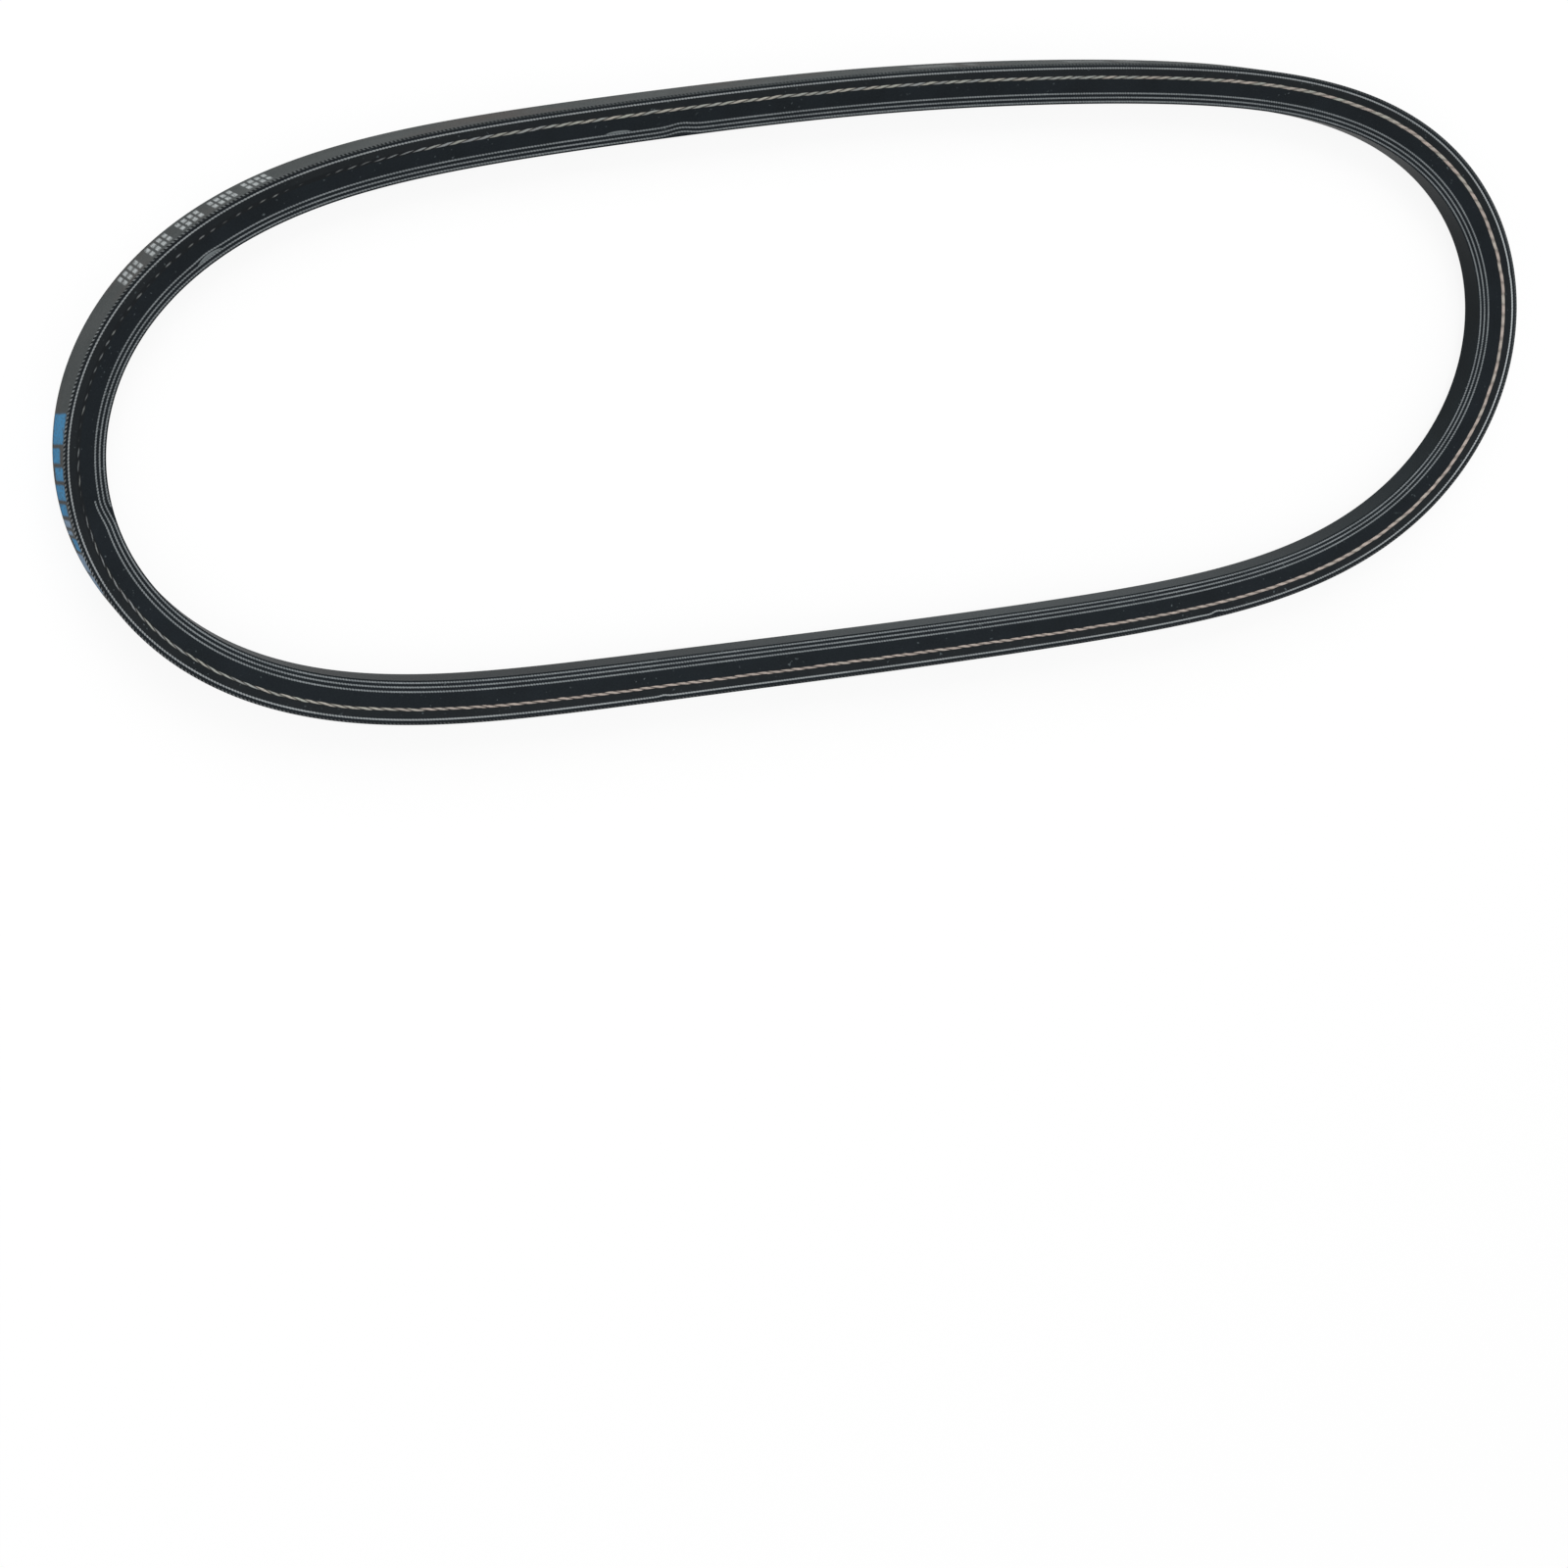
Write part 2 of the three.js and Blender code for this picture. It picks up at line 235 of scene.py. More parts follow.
# Quads between neighbouring stations and outline points. A closed band joins its last station to its
# first, and an open one, whose back and base are one step wide, gets quads from flank to flank on each end.
# The map is (along, depth) on a flank or an end, else (along, across).
def bandMesh(name, outline, band, closed, attributes):
    stations, around = band["depth"].shape
    row = np.arange(stations if closed else stations - 1)[:, None]
    column = np.arange(around)[None, :]
    below, beside = (row + 1) % stations, (column + 1) % around
    quads = np.stack([
        row * around + column, below * around + column, below * around + beside, row * around + beside,
    ], axis=2).reshape(-1, 4)
    region = np.tile(outline["region"], len(row))
    if not closed:
        step = np.arange(around // 2 - 1)
        cap = np.stack([(around - step) % around, 1 + step, 2 + step, around - 1 - step], axis=1)
        quads = np.concatenate([quads, cap, cap[:, ::-1] + (stations - 1) * around])
        region = np.append(region, np.ones(2 * len(step), int))
    quadAlong = band["along"][quads // around]
    if closed:
        quadAlong[-around:, 1:3] += loopPlan["length"]
    onFlank = region[:, None] == 1
    quadAcross = np.where(onFlank, band["depth"].ravel()[quads], band["across"].ravel()[quads])
    mesh = bpy.data.meshes.new(name)
    mesh.vertices.add(stations * around)
    mesh.vertices.foreach_set("co", band["points"].ravel().astype(np.float32))
    mesh.loops.add(quads.size)
    mesh.loops.foreach_set("vertex_index", quads.ravel().astype(np.int32))
    mesh.polygons.add(len(quads))
    mesh.polygons.foreach_set("loop_start", np.arange(len(quads), dtype=np.int32) * 4)
    mesh.polygons.foreach_set("material_index", region.astype(np.int32))
    mesh.update(calc_edges=True)
    mesh.validate()
    beltMap = mesh.uv_layers.new(name="beltMap")
    beltMap.data.foreach_set("uv", np.stack([quadAlong, quadAcross], axis=2).ravel().astype(np.float32))
    shares = np.broadcast_to(outline["share"], (stations, around))
    for key, values in {"layerShare": shares, **attributes}.items():
        layer = mesh.attributes.new(key, "FLOAT", "POINT")
        spread = np.broadcast_to(values, (stations, around))
        layer.data.foreach_set("value", spread.ravel().astype(np.float32))
    mesh.polygons.foreach_set("use_smooth", np.ones(len(quads), bool))
    mesh.set_sharp_from_angle(angle=foldAngle)
    piece = bpy.data.objects.new(name, mesh)
    bpy.context.scene.collection.objects.link(piece)
    return piece


# Gives a piece its finishes for the back, flank and base, and ties it to the solid that it stands for
def finishPiece(piece, node, finishes):
    for finish in finishes:
        piece.data.materials.append(finish)
    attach(piece, "root")
    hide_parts(node)
    print("piece", piece.name, "faces", len(piece.data.polygons))


# sRGB hex to linear: c / 12.92 below 0.04045, else ((c + 0.055) / 1.055) ^ 2.4
def linear(hexColor):
    channels = [int(hexColor[i:i + 2], 16) / 255 for i in (1, 3, 5)]
    return tuple(c / 12.92 if c <= 0.04045 else ((c + 0.055) / 1.055) ** 2.4 for c in channels) + (1.0,)


# Adds a node, sets its properties, and sets or links its inputs by name or number
def addNode(tree, kind, settings=None, inputs=None):
    node = tree.nodes.new(kind)
    for name, value in (settings or {}).items():
        setattr(node, name, value)
    for key, value in (inputs or {}).items():
        if isinstance(value, bpy.types.NodeSocket):
            tree.links.new(value, node.inputs[key])
        else:
            node.inputs[key].default_value = value
    return node


# A principled material, with its roughness and specular level on the shader's own sockets
def newMaterial(name, roughness, specular):
    material = bpy.data.materials.new(name)
    material.use_nodes = True
    shader = material.node_tree.nodes["Principled BSDF"]
    shader.inputs["Roughness"].default_value = roughness
    shader.inputs["Specular IOR Level"].default_value = specular
    return material, material.node_tree, shader


# Blotches: noise on Object coordinates, from 0 at its level low to 1 at its level high. The dictionaries
# give each of them as (size in mm, detail, low, high).
def blotches(tree, sizeMm, detail, low, high):
    place = addNode(tree, "ShaderNodeTexCoord")
    noise = addNode(tree, "ShaderNodeTexNoise", {}, {
        "Vector": place.outputs["Object"], "Scale": 1 / (sizeMm * mm), "Detail": detail,
    })
    return addNode(tree, "ShaderNodeMapRange", {}, {
        "Value": noise.outputs["Fac"], "From Min": low, "From Max": high,
    }).outputs["Result"]


jitterNoise = (1.5, 2.0, 0.0, 1.0)
bumpStrength = 0.5


# Rows of thread ends: a sine of (along + slant * across + jitter * noise) over the thread pitch, as 0 to 1.
# The pitch is rounded so that a whole number of threads goes round the loop. Pitch and jitter are in mm.
def threadRows(tree, pitch, slant, jitter):
    whole = loopPlan["length"] / round(loopPlan["length"] / pitch)
    place = addNode(tree, "ShaderNodeUVMap", {"uv_map": "beltMap"})
    noise = blotches(tree, *jitterNoise)
    turn = addNode(tree, "ShaderNodeCombineXYZ", {}, {"X": 1.0, "Y": slant})
    leaned = addNode(tree, "ShaderNodeVectorMath", {"operation": "DOT_PRODUCT"}, {
        0: place.outputs["UV"], 1: turn.outputs["Vector"],
    })
    pushed = addNode(tree, "ShaderNodeMath", {"operation": "MULTIPLY_ADD"}, {
        0: noise, 1: jitter, 2: leaned.outputs["Value"],
    })
    angle = addNode(tree, "ShaderNodeMath", {"operation": "MULTIPLY"}, {
        0: pushed.outputs[0], 1: 2 * math.pi / whole,
    })
    wave = addNode(tree, "ShaderNodeMath", {"operation": "SINE"}, {0: angle.outputs[0]})
    rows = addNode(tree, "ShaderNodeMapRange", {}, {"Value": wave.outputs[0], "From Min": -1.0})
    return rows.outputs["Result"]


# Coats of colour over a ground: each is a cover and a hex colour, laid in order by mixing
def layCoats(tree, ground, coats):
    tone = linear(ground)
    for cover, hexColor in coats:
        mix = addNode(tree, "ShaderNodeMix", {"data_type": "RGBA"}, {
            0: cover, 6: tone, 7: linear(hexColor),
        })
        tone = mix.outputs[2]  # inputs 6 and 7 and output 2 are the node's colours
    return tone


# Joins the tone and a bump of a real height in mm to the shader
def joinFinish(tree, shader, tone, height, heightMm):
    tree.links.new(tone, shader.inputs["Base Color"])
    bump = addNode(tree, "ShaderNodeBump", {}, {
        "Height": height, "Distance": heightMm * mm, "Strength": bumpStrength,
    })
    tree.links.new(bump.outputs["Normal"], shader.inputs["Normal"])


rubberFinish = {
    "roughness": 0.68,
    "specular": 0.1,
    "cushion": ("#171b1e", "#202325"),  # ground and cloudy tone of the two compounds
    "compression": ("#12171b", "#181e23"),
    "grain": "#262c30",
    "speck": "#4f575a",
    "fabric": "#787f81",
    "clouds": (9.0, 3.0, 0.3, 0.7),
    "grains": (0.35, 4.0, 0.3, 0.8),
    "grainCover": 0.45,
    "specks": (0.9, 1.0, 0.7, 0.75),
    "speckGroups": (12.0, 1.0, 0.45, 0.6),
    "patchEdge": 0.03,  # share of the layer over which a patch of fabric comes in
    "patchCover": 0.9,
    "relief": 0.03,  # mm
}


# Cured rubber, cut and ground: a near-black satin band with fine grain, sparse pale fibre ends, and a patch
# of fabric where a seam of the strip is cut through
def groundRubber(compound):
    look = rubberFinish
    ground, cloudy = look[compound]
    material, tree, shader = newMaterial(compound + "GroundRubber", look["roughness"], look["specular"])
    grain = blotches(tree, *look["grains"])
    thinGrain = addNode(tree, "ShaderNodeMath", {"operation": "MULTIPLY"}, {
        0: grain, 1: look["grainCover"],
    })
    specks = addNode(tree, "ShaderNodeMath", {"operation": "MULTIPLY"}, {
        0: blotches(tree, *look["specks"]), 1: blotches(tree, *look["speckGroups"]),
    })
    fabric = addNode(tree, "ShaderNodeAttribute", {"attribute_name": "fabricShows"})
    patch = addNode(tree, "ShaderNodeMapRange", {}, {
        "Value": fabric.outputs["Fac"], "From Max": look["patchEdge"], "To Max": look["patchCover"],
    })
    tone = layCoats(tree, ground, [
        (blotches(tree, *look["clouds"]), cloudy),
        (thinGrain.outputs[0], look["grain"]),
        (specks.outputs[0], look["speck"]),
        (patch.outputs["Result"], look["fabric"]),
    ])
    joinFinish(tree, shader, tone, grain, look["relief"])
    return material


plyFinish = {
    "roughness": 0.8,
    "specular": 0.15,
    "gum": "#15191c",
    "cover": "#9a9fa1",  # threads of the cover's inner ply
    "base": "#7e8487",  # threads of the base fabric
    "notch": "#454b4e",
    "fibre": "#adb2b4",
    "paleNearRightBend": "#bfc5c7",
    "rightBendPaleReach": 45.0,  # mm on each side of the right bend over which the cover's inner ply is paler
    "rightBendPaleCover": 0.8,
    "threadPitch": 0.75,  # mm; the real cloth's 0.6 mm is too fine to show
    "slant": 0.5,
    "jitter": 0.5,  # mm by which a thread is out of place
    "narrow": 0.32,  # share of the ply's thickness that shows beside its middle, between two threads
    "wide": 0.46,  # and on a thread
    "edge": (-0.02, 0.08),  # shares of the ply's thickness between which the line's edge fades
    "wear": (11.0, 2.0, 0.35, 0.7),
    "notchCover": (0.1, 0.85),  # where unworn and where worn
    "fibres": (0.5, 3.0, 0.45, 0.8),
    "fibreCover": 0.5,
    "relief": 0.06,  # mm
}


# Rubber-proofed cotton ply, cut through on the flank: a thin pale line of thread ends with gum between them
def cutFabricPly(ply):
    look = plyFinish
    material, tree, shader = newMaterial(ply + "CutFabricPly", look["roughness"], look["specular"])
    threads = threadRows(tree, look["threadPitch"], look["slant"], look["jitter"])
    share = addNode(tree, "ShaderNodeAttribute", {"attribute_name": "layerShare"})
    lineAt = addNode(tree, "ShaderNodeAttribute", {"attribute_name": "lineAt"})
    middle = addNode(tree, "ShaderNodeMath", {"operation": "SUBTRACT"}, {
        0: share.outputs["Fac"], 1: lineAt.outputs["Fac"],
    })
    apart = addNode(tree, "ShaderNodeMath", {"operation": "ABSOLUTE"}, {0: middle.outputs[0]})
    reach = addNode(tree, "ShaderNodeMapRange", {}, {
        "Value": threads, "To Min": look["narrow"], "To Max": look["wide"],
    })
    inside = addNode(tree, "ShaderNodeMath", {"operation": "SUBTRACT"}, {
        0: reach.outputs["Result"], 1: apart.outputs[0],
    })
    fadeStart, fadeEnd = look["edge"]
    line = addNode(tree, "ShaderNodeMapRange", {}, {
        "Value": inside.outputs[0], "From Min": fadeStart, "From Max": fadeEnd,
    })
    between = addNode(tree, "ShaderNodeMath", {"operation": "SUBTRACT"}, {0: 1.0, 1: threads})
    unwornCover, wornCover = look["notchCover"]
    worn = addNode(tree, "ShaderNodeMapRange", {}, {
        "Value": blotches(tree, *look["wear"]), "To Min": unwornCover, "To Max": wornCover,
    })
    notch = addNode(tree, "ShaderNodeMath", {"operation": "MULTIPLY"}, {
        0: between.outputs[0], 1: worn.outputs["Result"],
    })
    fibre = addNode(tree, "ShaderNodeMath", {"operation": "MULTIPLY"}, {
        0: blotches(tree, *look["fibres"]), 1: look["fibreCover"],
    })
    # a paler thread tone near the right bend
    paleNearRightBend = addNode(tree, "ShaderNodeAttribute", {"attribute_name": "paleAtRightBend"})
    thread = layCoats(tree, look[ply], [
        (fibre.outputs[0], look["fibre"]),
        (notch.outputs[0], look["notch"]),
        (paleNearRightBend.outputs["Fac"], look["paleNearRightBend"]),
    ])
    tone = addNode(tree, "ShaderNodeMix", {"data_type": "RGBA"}, {
        0: line.outputs["Result"], 6: linear(look["gum"]), 7: thread,
    })
    joinFinish(tree, shader, tone.outputs[2], threads, look["relief"])
    return material


coverPlyOuter = {
    "stations": 6100,
    "backSteps": 8,
    "flankSteps": 2,
    "roughness": 0.85,
    "specular": 0.2,
    "cloth": "#444949",
    "cloudy": "#525656",
    "warm": "#504b48",
    # painted shade: the tone of the grooves between the ribs
    "grooveShade": "#24282a",
    "ribPitch": 1.0,  # mm; the real cloth's 0.5 mm threads are too fine to show
    "ribJitter": 0.15,
    "ribRelief": 0.06,
    "grooveShadeLevels": (0.6, 1.4),  # of the two rows of ribs added up: all painted groove shade, and none
    "grooveShadeCover": 0.65,
    "clouds": (14.0, 3.0, 0.3, 0.7),
    "warmClouds": (21.0, 2.0, 0.5, 0.75),
    "inkWear": (0.7, 4.0, 0.28, 0.5),
    "gum": "#13171a",
    "dusty": "#3c4143",
    "tick": "#8b9092",
    "tickPitch": 0.95,  # mm; the real cut threads are 0.6 mm apart
    "tickSlant": 0.9,
    "tickJitter": 0.25,
    "tickRelief": 0.08,
    "tickLevels": (0.4, 0.75),
    "tickEnd": (0.6, 0.85),  # shares of the ply's thickness between which the row of ticks fades
    "tickWear": (5.0, 2.0, 0.3, 0.6),
    "tickLeft": 0.45,  # what is left of a tick where the wear is full
    "ticksAt": (440.0, 75.0),  # mm: the middle and reach of the stretch where the ticks show
    "ticksAway": 0.3,  # how far they show elsewhere
    "dustAndPaintedLightAt": (210.0, 120.0),
    "rightDustAt": (30.0, 60.0),
    "rightDust": 0.8,
    "blueInk": "#3f88b6",
    "fadedInk": "#8098b0",
    "paleInk": "#c3c9ca",
    "paleCover": 0.75,
    "faintCover": 0.16,
    "fieldEdge": 0.05,  # mm on each side of a field's end over which the ink fades
    "barLean": 1.2,  # mm that the blue and faded bars lean over half the width
    # Plain ink bars on the back: start and end in mm along, low and high as shares of the half width
    "blueFields": [
        (445.2, 451.6, -0.95, 0.8), (452.5, 455.6, -0.95, 0.4), (456.6, 459.4, -0.7, 0.8),
        (460.3, 463.6, -0.95, 0.8), (464.5, 467.0, -0.95, 0.6), (472.2, 475.0, -0.5, 0.8),
    ],
    "fadedFields": [
        (468.0, 469.6, -0.95, 0.7), (470.4, 471.4, -0.9, 0.3),
        (475.8, 480.2, -0.95, 0.8), (481.0, 485.6, -0.95, 0.8),
    ],
    "paleFields": [
        (start, start + 1.0, low, low + 0.6)
        for group in (374.0, 382.4, 390.8, 399.2, 407.6)
        for start in (group, group + 1.6, group + 3.2, group + 4.8)
        for low in (-0.66, 0.02)
    ],
    "faintFields": [
        (150.0, 156.0, -0.4, 0.4), (159.0, 171.0, -0.4, 0.5),
        (196.0, 199.0, -0.3, 0.5), (202.0, 214.0, -0.4, 0.4),
    ],
}


# Rubber-proofed woven cover, moulded flat: matt dark grey with crossing ribs and painted shade in the
# grooves between them, warm clouds and worn plain ink
def proofedCoverCloth():
    look = coverPlyOuter
    material, tree, shader = newMaterial("proofedCoverCloth", look["roughness"], look["specular"])
    warp, weft = (threadRows(tree, look["ribPitch"], slant, look["ribJitter"]) for slant in (1.0, -1.0))
    ribs = addNode(tree, "ShaderNodeMath", {"operation": "ADD"}, {0: warp, 1: weft})
    allGrooveShade, noGrooveShade = look["grooveShadeLevels"]
    # painted shade: darker where the rows of ribs are low
    ribGrooveShade = addNode(tree, "ShaderNodeMapRange", {}, {
        "Value": ribs.outputs[0], "From Min": allGrooveShade, "From Max": noGrooveShade,
        "To Min": look["grooveShadeCover"], "To Max": 0.0,
    })
    coats = [
        (blotches(tree, *look["clouds"]), look["cloudy"]),
        (blotches(tree, *look["warmClouds"]), look["warm"]),
        (ribGrooveShade.outputs["Result"], look["grooveShade"]),
    ]
    worn = blotches(tree, *look["inkWear"])
    for ink in ("blueInk", "fadedInk", "paleInk"):
        field = addNode(tree, "ShaderNodeAttribute", {"attribute_name": ink})
        left = addNode(tree, "ShaderNodeMath", {"operation": "MULTIPLY"}, {
            0: field.outputs["Fac"], 1: worn,
        })
        coats.append((left.outputs[0], look[ink]))
    joinFinish(tree, shader, layCoats(tree, look["cloth"], coats), ribs.outputs[0], look["ribRelief"])
    return material


# The cover's cut edge: a row of pale thread ends at the left bend, which sink into dusty gum elsewhere
def cutCoverEdge():
    look = coverPlyOuter
    material, tree, shader = newMaterial("cutCoverEdge", look["roughness"], look["specular"])
    threads = threadRows(tree, look["tickPitch"], look["tickSlant"], look["tickJitter"])
    share = addNode(tree, "ShaderNodeAttribute", {"attribute_name": "layerShare"})
    shown = addNode(tree, "ShaderNodeAttribute", {"attribute_name": "threadsShow"})
    noTick, allTick = look["tickLevels"]
    ticks = addNode(tree, "ShaderNodeMapRange", {}, {
        "Value": threads, "From Min": noTick, "From Max": allTick,
    })
    rowFades, rowEnds = look["tickEnd"]
    row = addNode(tree, "ShaderNodeMapRange", {}, {
        "Value": share.outputs["Fac"], "From Min": rowFades, "From Max": rowEnds,
        "To Min": 1.0, "To Max": 0.0,
    })
    left = addNode(tree, "ShaderNodeMapRange", {}, {
        "Value": blotches(tree, *look["tickWear"]), "To Min": look["tickLeft"],
    })
    inRow = addNode(tree, "ShaderNodeMath", {"operation": "MULTIPLY"}, {
        0: ticks.outputs["Result"], 1: row.outputs["Result"],
    })
    worn = addNode(tree, "ShaderNodeMath", {"operation": "MULTIPLY"}, {
        0: inRow.outputs[0], 1: left.outputs["Result"],
    })
    cover = addNode(tree, "ShaderNodeMath", {"operation": "MULTIPLY"}, {
        0: worn.outputs[0], 1: shown.outputs["Fac"],
    })
    dustAndPaintedLight = addNode(tree, "ShaderNodeAttribute", {"attribute_name": "edgeDust"})
    tone = layCoats(tree, look["gum"], [
        (dustAndPaintedLight.outputs["Fac"], look["dusty"]), (cover.outputs[0], look["tick"]),
    ])
    joinFinish(tree, shader, tone, threads, look["tickRelief"])
    return material


tensileCord = {
    "stations": 4400,
    "flankSteps": 9,
    "lobe": 3.15,  # mm from strand to strand where the flank cuts the twist
    "rise": 0.13,  # mm that the strands stand proud
    "seed": 7,
    "roughness": 0.75,
    "specular": 0.15,
    "rubber": "#15191c",
    # painted shade: the tone of the grooves between the strands
    "grooveShade": "#4f4a46",
    "beige": "#c6b8af",
    "olive": "#b8bbb1",
    "slate": "#989ea1",
    "shade": "#75726f",
    "fibre": "#53504e",
    "fibres": (0.3, 3.0, 0.45, 0.75),
    "fibreCover": 0.4,
    "relief": 0.05,  # mm
    "oliveHues": (0.3, 0.7),  # hues between which beige turns to olive, and olive to slate
    "slateHues": (0.7, 1.0),
    "grooveShadeLevels": (0.3, 0.95),  # heights of a strand that are all painted groove shade, and none
    "grooveShadeCover": 0.95,
    "wander": 0.16,  # a lobe's largest shift across, as a share of half the band
    "push": 0.9,  # its largest shift along, in radians of the wave
    "hueSpread": 0.2,
    "toneSpread": 0.35,
    "solidCalm": 0.7,  # share of that spread which is lost where the strands run together
    "thinner": (0.2, 0.5),  # the most that a lobe loses in height, and what a buried one loses besides
    "buriedBy": 0.6,  # height of a lobe that the rubber hides where none of the cord comes through
    "coverLevels": (0.1, 0.4),  # heights above the rubber at which a lobe starts to show, and is clear
    "thinShow": 0.35,  # how strongly the tone shows where the cord hardly comes through
    # Along the belt in mm: how much of the cord comes through, how wide it shows, how far the strands run
    # together, the share of a lobe by which a strand leans over half the band, and its hue
    "showAt": ([0, 336, 350, 360, 371, 380, 460, 471, 492, 915],
               [1, 1, 0.36, 0.24, 0.28, 0.4, 0.38, 0.52, 1, 1]),
    "widthAt": ([0, 60, 150, 330, 350, 465, 495, 560, 760, 830, 915],
                [0.82, 0.8, 0.72, 0.7, 0.55, 0.46, 0.54, 0.62, 0.64, 0.76, 0.82]),
    "solidAt": ([0, 70, 140, 335, 360, 480, 520, 700, 780, 850, 915],
                [0.6, 0.55, 0.3, 0.2, 0.0, 0.0, 0.2, 0.3, 0.35, 0.55, 0.6]),
    "leanAt": ([0, 60, 120, 350, 460, 520, 760, 860, 915],
               [0.0, -0.25, -0.4, -0.4, 0.4, 0.4, 0.35, 0.2, 0.0]),
    "hueAt": ([0, 120, 200, 300, 340, 480, 600, 915], [0.25, 0.55, 0.75, 0.7, 1.0, 1.0, 0.2, 0.25]),
}


# Polyester cord, twisted and cut by the flank: beige strands with painted shade in the grooves, drifting to
# olive and slate
def twistedPolyesterCord():
    look = tensileCord
    material, tree, shader = newMaterial("twistedPolyesterCord", look["roughness"], look["specular"])
    strand, shown, lobeTone, lobeHue = (
        addNode(tree, "ShaderNodeAttribute", {"attribute_name": name}).outputs["Fac"]
        for name in ("strand", "cordShows", "lobeTone", "lobeHue")
    )
    olive, slate = (
        addNode(tree, "ShaderNodeMapRange", {}, {"Value": lobeHue, "From Min": start, "From Max": end})
        for start, end in (look["oliveHues"], look["slateHues"])
    )
    allGrooveShade, noGrooveShade = look["grooveShadeLevels"]
    # painted shade: darker where a strand's height is low, in the grooves between strands
    grooveShade = addNode(tree, "ShaderNodeMapRange", {}, {
        "Value": strand, "From Min": allGrooveShade, "From Max": noGrooveShade,
        "To Min": look["grooveShadeCover"], "To Max": 0.0,
    })
    fibre = blotches(tree, *look["fibres"])
    thinFibre = addNode(tree, "ShaderNodeMath", {"operation": "MULTIPLY"}, {
        0: fibre, 1: look["fibreCover"],
    })
    buried = addNode(tree, "ShaderNodeMath", {"operation": "SUBTRACT"}, {0: 1.0, 1: shown})
    tone = layCoats(tree, look["beige"], [
        (olive.outputs["Result"], look["olive"]),
        (slate.outputs["Result"], look["slate"]),
        (lobeTone, look["shade"]),
        (grooveShade.outputs["Result"], look["grooveShade"]),
        (thinFibre.outputs[0], look["fibre"]),
        (buried.outputs[0], look["rubber"]),
    ])
    joinFinish(tree, shader, tone, fibre, look["relief"])
    return material


baseSkin = {
    "stations": 2200,
    "flankSteps": 2,
    "baseSteps": 8,
    "roughness": 0.45,
    "specular": 0.07,
    "skin": "#0a1013",
    "cloudy": "#121a1e",
    # painted light: a paler tone laid on the near strand's base, where the light falls on it
    "dustAndPaintedLight": "#323a3d",
    "paintedLightCover": 0.75,
    "dustAndPaintedLightAt": (730.0, 120.0),  # mm: the middle and reach of the paler stretch, painted light on the near strand
    "clouds": (12.0, 3.0, 0.3, 0.7),
    "grains": (0.4, 4.0, 0.2, 0.8),
    "clothPitch": 1.0,
    "clothJitter": 0.3,
    "clothShare": 0.25,  # the cloth's mark in the relief, beside the grain
    "relief": 0.03,
}


# Thin rubber skin, moulded against cloth: smooth blue-black that shines pale at a low angle, with painted
# light on the near strand, a paler stretch where the light falls
def mouldedBaseSkin():
    look = baseSkin
    material, tree, shader = newMaterial("mouldedBaseSkin", look["roughness"], look["specular"])
    cloth = threadRows(tree, look["clothPitch"], 1.0, look["clothJitter"])
    faint = addNode(tree, "ShaderNodeMath", {"operation": "MULTIPLY"}, {0: cloth, 1: look["clothShare"]})
    grain = addNode(tree, "ShaderNodeMath", {"operation": "ADD"}, {
        0: faint.outputs[0], 1: blotches(tree, *look["grains"]),
    })
    # painted light on the near strand's base
    dustAndPaintedLight = addNode(tree, "ShaderNodeAttribute", {"attribute_name": "paintedLightShows"})
    tone = layCoats(tree, look["skin"], [
        (blotches(tree, *look["clouds"]), look["cloudy"]), (dustAndPaintedLight.outputs["Fac"], look["dustAndPaintedLight"]),
    ])
    joinFinish(tree, shader, tone, grain.outputs[0], look["relief"])
    return material


cushionRubberFinish = groundRubber("cushion")
compressionRubberFinish = groundRubber("compression")
coverPlyLine = cutFabricPly("cover")
basePlyLine = cutFabricPly("base")
cordFinish = twistedPolyesterCord()
print("materials ready")


# Even distances round the loop, from the right bend
def evenStations(count):
    return np.arange(count) * loopPlan["length"] / count


# Cover of plain fields: 1 inside a field's length and between its sides, with soft ends
def fieldCover(fields, along, side):
    cover = np.zeros(np.broadcast(along, side).shape)
    edge = coverPlyOuter["fieldEdge"]
    for start, end, low, high in fields:
        begun = easeBetween(start - edge, start + edge, along)
        ended = easeBetween(end - edge, end + edge, along)
        cover = np.maximum(cover, begun * (1 - ended) * ((side > low) & (side < high)))
    return cover


# The back's band, with its ink, and on its cut edge the stretches of ticks and dust as bells along the loop
def makeCoverPlyOuter():
    look = coverPlyOuter
    outline = sectionOutline(look["backSteps"], look["flankSteps"], 1)
    along = evenStations(look["stations"])
    top = np.zeros(len(along))
    band = bandAlong(outline, along, top, top + section["coverSkim"])
    column, side = along[:, None], outline["side"]
    onBack = outline["share"] == 0
    leaned = column + look["barLean"] * (1 + side)
    crisp, faint = (fieldCover(look[name], column, side) for name in ("paleFields", "faintFields"))
    piece = bandMesh("coverPlyOuter", outline, band, True, {
        "blueInk": fieldCover(look["blueFields"], leaned, side) * onBack,
        "fadedInk": fieldCover(look["fadedFields"], leaned, side) * onBack,
        "paleInk": np.maximum(look["paleCover"] * crisp, look["faintCover"] * faint) * onBack,
        "threadsShow": look["ticksAway"] + (1 - look["ticksAway"]) * bellAround(*look["ticksAt"], column),
        "edgeDust": np.maximum(
            bellAround(*look["dustAndPaintedLightAt"], column),
            look["rightDust"] * bellAround(*look["rightDustAt"], column),
        ),
    })
    edge = cutCoverEdge()
    finishPiece(piece, "cover_ply_outer", [proofedCoverCloth(), edge, edge])


